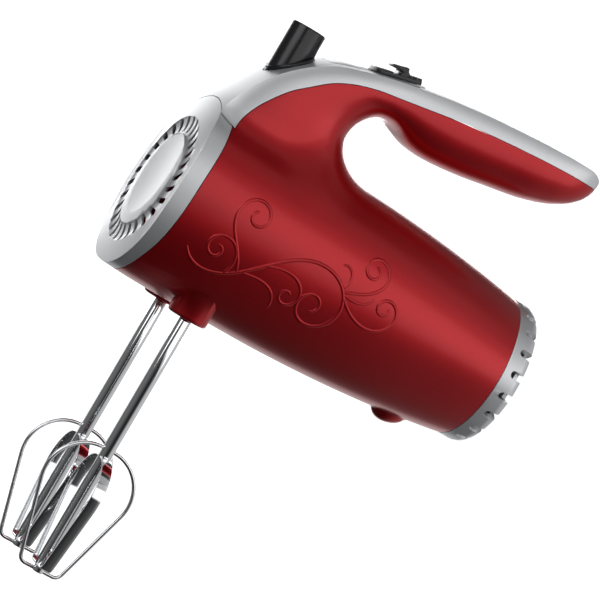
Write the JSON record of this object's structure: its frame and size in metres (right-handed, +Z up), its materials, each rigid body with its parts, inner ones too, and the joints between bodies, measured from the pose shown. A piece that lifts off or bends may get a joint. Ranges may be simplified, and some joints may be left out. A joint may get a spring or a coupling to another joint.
{
  "type": "hand mixer",
  "caption": "Electric hand mixer standing on its heel: lacquered barrel with a bow handle, vented ends, eject button, speed slider and wire beaters.",
  "frame": {"origin": "middle of the flat heel face that the mixer stands on", "axes": "+Z up along the motor axis from the heel to the front face, +X towards the handle, beaters pointing to -X, Y across"},
  "size_m": [0.302, 0.0932, 0.2057],
  "materials": {
    "casing_red": "metallic red lacquer under clear gloss",
    "silver_trim": "satin silver paint",
    "black_controls": "satin black",
    "beater_chrome": "polished",
    "plain_steel": "turned",
    "lamination_steel": "stacked sheet",
    "bronze": "sintered",
    "copper": "enamelled wire",
    "nylon": "natural nylon",
    "board_green": "board lacquer",
    "capacitor_case": "moulded case",
    "cord_rubber": "matt"
  },
  "bodies": {
    "casing": {"main_housing": "casing_red", "handle_cover": "silver_trim", "front_grille": "silver_trim", "rear_cap": "silver_trim", "eject_bezel": "black_controls", "switch_plate": "silver_trim", "switch_block": "black_controls", "detent_spring": "plain_steel", "gear_frame": "nylon", "gear_frame_cover": "nylon", "front_bush": "bronze", "middle_bush": "bronze", "rear_bush": "bronze", "spindle_bushes": "bronze", "front_motor_bracket": "plain_steel", "rear_motor_bracket": "plain_steel", "stator_core": "lamination_steel", "field_coils": "copper", "brush_holders": "bronze", "carbon_brushes": "black_controls", "brush_springs": "plain_steel", "gear_frame_screws": "plain_steel", "frame_cover_screws": "plain_steel", "motor_screws": "plain_steel", "circuit_board": "board_green", "suppression_capacitor": "capacitor_case", "wiring": "cord_rubber", "cord_gland": "cord_rubber", "cord_clamp": "black_controls", "eject_spring": "plain_steel"},
    "motor": {"motor_shaft": "plain_steel", "worm": "plain_steel", "armature_core": "lamination_steel", "armature_windings": "copper", "commutator": "copper", "cooling_fan": "nylon"},
    "spindle_left": {"spindle_left": "plain_steel", "worm_wheel_left": "nylon", "beater_clip_left": "plain_steel"},
    "beater_left": {"beater_shaft_left": "beater_chrome", "beater_wire_left": "beater_chrome", "beater_blade_left": "beater_chrome"},
    "spindle_right": {"spindle_right": "plain_steel", "worm_wheel_right": "nylon", "beater_clip_right": "plain_steel"},
    "beater_right": {"beater_shaft_right": "beater_chrome", "beater_wire_right": "beater_chrome", "beater_blade_right": "beater_chrome"},
    "eject": {"eject_button": "black_controls", "ejector_fork": "nylon"},
    "slider": {"speed_slider": "black_controls", "slider_contact": "bronze"}
  },
  "joints": [
    {"name": "motor_spin", "type": "hinge", "parent": "casing", "child": "motor", "pos_m": [0, 0, 0.106], "axis": [0, 0, -1], "continuous": true},
    {"name": "spindle_left_spin", "type": "hinge", "parent": "casing", "child": "spindle_left", "pos_m": [0, 0.0245, 0.161], "axis": [1, 0, 0], "continuous": true},
    {"name": "spindle_right_spin", "type": "hinge", "parent": "casing", "child": "spindle_right", "pos_m": [0, -0.0245, 0.161], "axis": [1, 0, 0], "continuous": true},
    {"name": "eject_press", "type": "slide", "parent": "casing", "child": "eject", "axis": [-1, 0, 0], "range_m": [0, 0.008], "stiffness_N_per_m": 500, "springref_m": -0.003, "deforming": ["eject_spring"]},
    {"name": "beater_left_eject", "type": "slide", "parent": "spindle_left", "child": "beater_left", "axis": [-1, 0, 0], "range_m": [0, 0.008]},
    {"name": "beater_right_eject", "type": "slide", "parent": "spindle_right", "child": "beater_right", "axis": [-1, 0, 0], "range_m": [0, 0.008]},
    {"name": "speed_slide", "type": "slide", "parent": "casing", "child": "slider", "axis": [-0.213, 0, 0.977], "range_m": [0, 0.014]}
  ],
  "couplings": [
    {"joint": "spindle_left_spin", "follows": "motor_spin", "ratio": -0.066667},
    {"joint": "spindle_right_spin", "follows": "motor_spin", "ratio": 0.066667},
    {"joint": "beater_left_eject", "follows": "eject_press", "ratio": 1},
    {"joint": "beater_right_eject", "follows": "eject_press", "ratio": 1}
  ]
}
